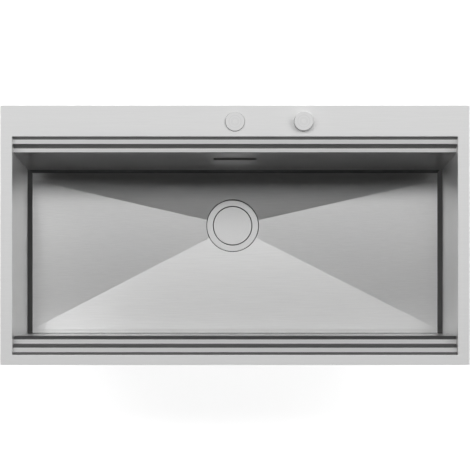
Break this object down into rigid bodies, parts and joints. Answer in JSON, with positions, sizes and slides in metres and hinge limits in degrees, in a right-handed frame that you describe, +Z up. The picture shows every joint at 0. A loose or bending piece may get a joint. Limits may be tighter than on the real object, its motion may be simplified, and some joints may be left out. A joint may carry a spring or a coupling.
{
  "type": "kitchen sink",
  "caption": "Stainless steel drop-in kitchen sink with one large bowl, stepped ledges for accessories, a basket strainer worked by a knob, and an overflow.",
  "frame": {"origin": "middle of the deck's seal face, level with the worktop's top", "axes": "+X along the sink to the right, +Y to the back, +Z up"},
  "size_m": [0.94, 0.52, 0.382],
  "materials": {
    "steel_sheet": "fine brushed",
    "steel_spun": "spun brushed",
    "steel_plain": "plain mill finish",
    "zinc_steel": "zinc plated",
    "brass": "satin",
    "black_rubber": "matte",
    "grey_foam": "matte",
    "damping_pad": "matte",
    "white_plastic": "moulded",
    "black_plastic": "moulded"
  },
  "bodies": {
    "sink": {"deck_plate": "steel_sheet", "front_panel": "steel_sheet", "rear_panel": "steel_sheet", "left_end_panel": "steel_sheet", "right_end_panel": "steel_sheet", "bowl_floor": "steel_sheet", "rim_seal": "grey_foam", "deck_stiffener": "steel_plain", "clip_brackets": "steel_plain", "clip_claws": "zinc_steel", "clip_screws": "zinc_steel", "clip_nuts": "zinc_steel", "floor_damping_pads": "damping_pad", "wall_damping_pads": "damping_pad", "earthing_tab": "steel_plain", "control_body": "black_plastic", "control_base_cover": "black_plastic", "control_cover_screws": "zinc_steel", "control_gasket": "black_rubber", "control_ring_nut": "brass", "cable_sheath": "black_plastic", "cable_wire": "steel_plain", "cable_ferrules": "zinc_steel", "cable_clips": "black_plastic", "cable_stop_bracket": "zinc_steel", "strainer_flange": "steel_spun", "flange_gasket": "black_rubber", "floor_gasket": "black_rubber", "drain_body": "white_plastic", "overflow_port": "white_plastic", "drain_neck": "white_plastic", "clamp_bridge": "brass", "hollow_clamp_screw": "brass", "rocker_seal": "black_rubber", "rocker_gland_nut": "white_plastic", "overflow_cover": "steel_sheet", "overflow_gasket": "black_rubber", "overflow_housing": "black_plastic", "overflow_nuts": "zinc_steel", "overflow_pipe": "white_plastic", "overflow_pipe_nuts": "white_plastic"},
    "knob": {"control_knob": "steel_spun", "knob_grub_screw": "zinc_steel", "knob_spindle": "brass", "cable_drum": "white_plastic"},
    "lever": {"rocker_lever": "steel_plain"},
    "wire_end": {"cable_eye": "zinc_steel"},
    "pin": {"lifter_pin": "brass"},
    "basket": {"strainer_basket": "steel_plain", "basket_foot_screw": "steel_plain", "basket_seal": "black_rubber"},
    "cover": {"drain_cover": "steel_spun"},
    "tap_cap": {"tap_hole_cap": "steel_spun", "cap_snap_ring": "black_plastic", "cap_seal": "black_rubber"}
  },
  "joints": [
    {"name": "knob_turn", "type": "hinge", "parent": "sink", "child": "knob", "pos_m": [0.1373, 0.2273, 0], "axis": [0, 0, 1], "range_deg": [0, 90]},
    {"name": "lever_rock", "type": "hinge", "parent": "sink", "child": "lever", "pos_m": [-0.0052, 0.0652, -0.2835], "axis": [-1, 0, 0], "range_deg": [0, 13.43]},
    {"name": "wire_pull", "type": "slide", "parent": "sink", "child": "wire_end", "axis": [0, 0, -1], "range_m": [0, 0.01177]},
    {"name": "plug_lift", "type": "slide", "parent": "sink", "child": "pin", "axis": [0, 0, 1], "range_m": [0, 0.00801]},
    {"name": "basket_lift_out", "type": "slide", "parent": "pin", "child": "basket", "axis": [0, 0, 1], "range_m": [0, 0.08]},
    {"name": "cover_lift_off", "type": "slide", "parent": "basket", "child": "cover", "axis": [0, 0, 1], "range_m": [0, 0.05]},
    {"name": "tap_cap_lift_off", "type": "slide", "parent": "sink", "child": "tap_cap", "axis": [0, 0, 1], "range_m": [0, 0.04]}
  ],
  "couplings": [
    {"joint": "lever_rock", "follows": "knob_turn", "ratio": 0.14911},
    {"joint": "wire_pull", "follows": "knob_turn", "m_per_rad": 0.0074896},
    {"joint": "plug_lift", "follows": "knob_turn", "m_per_rad": 0.005093}
  ]
}
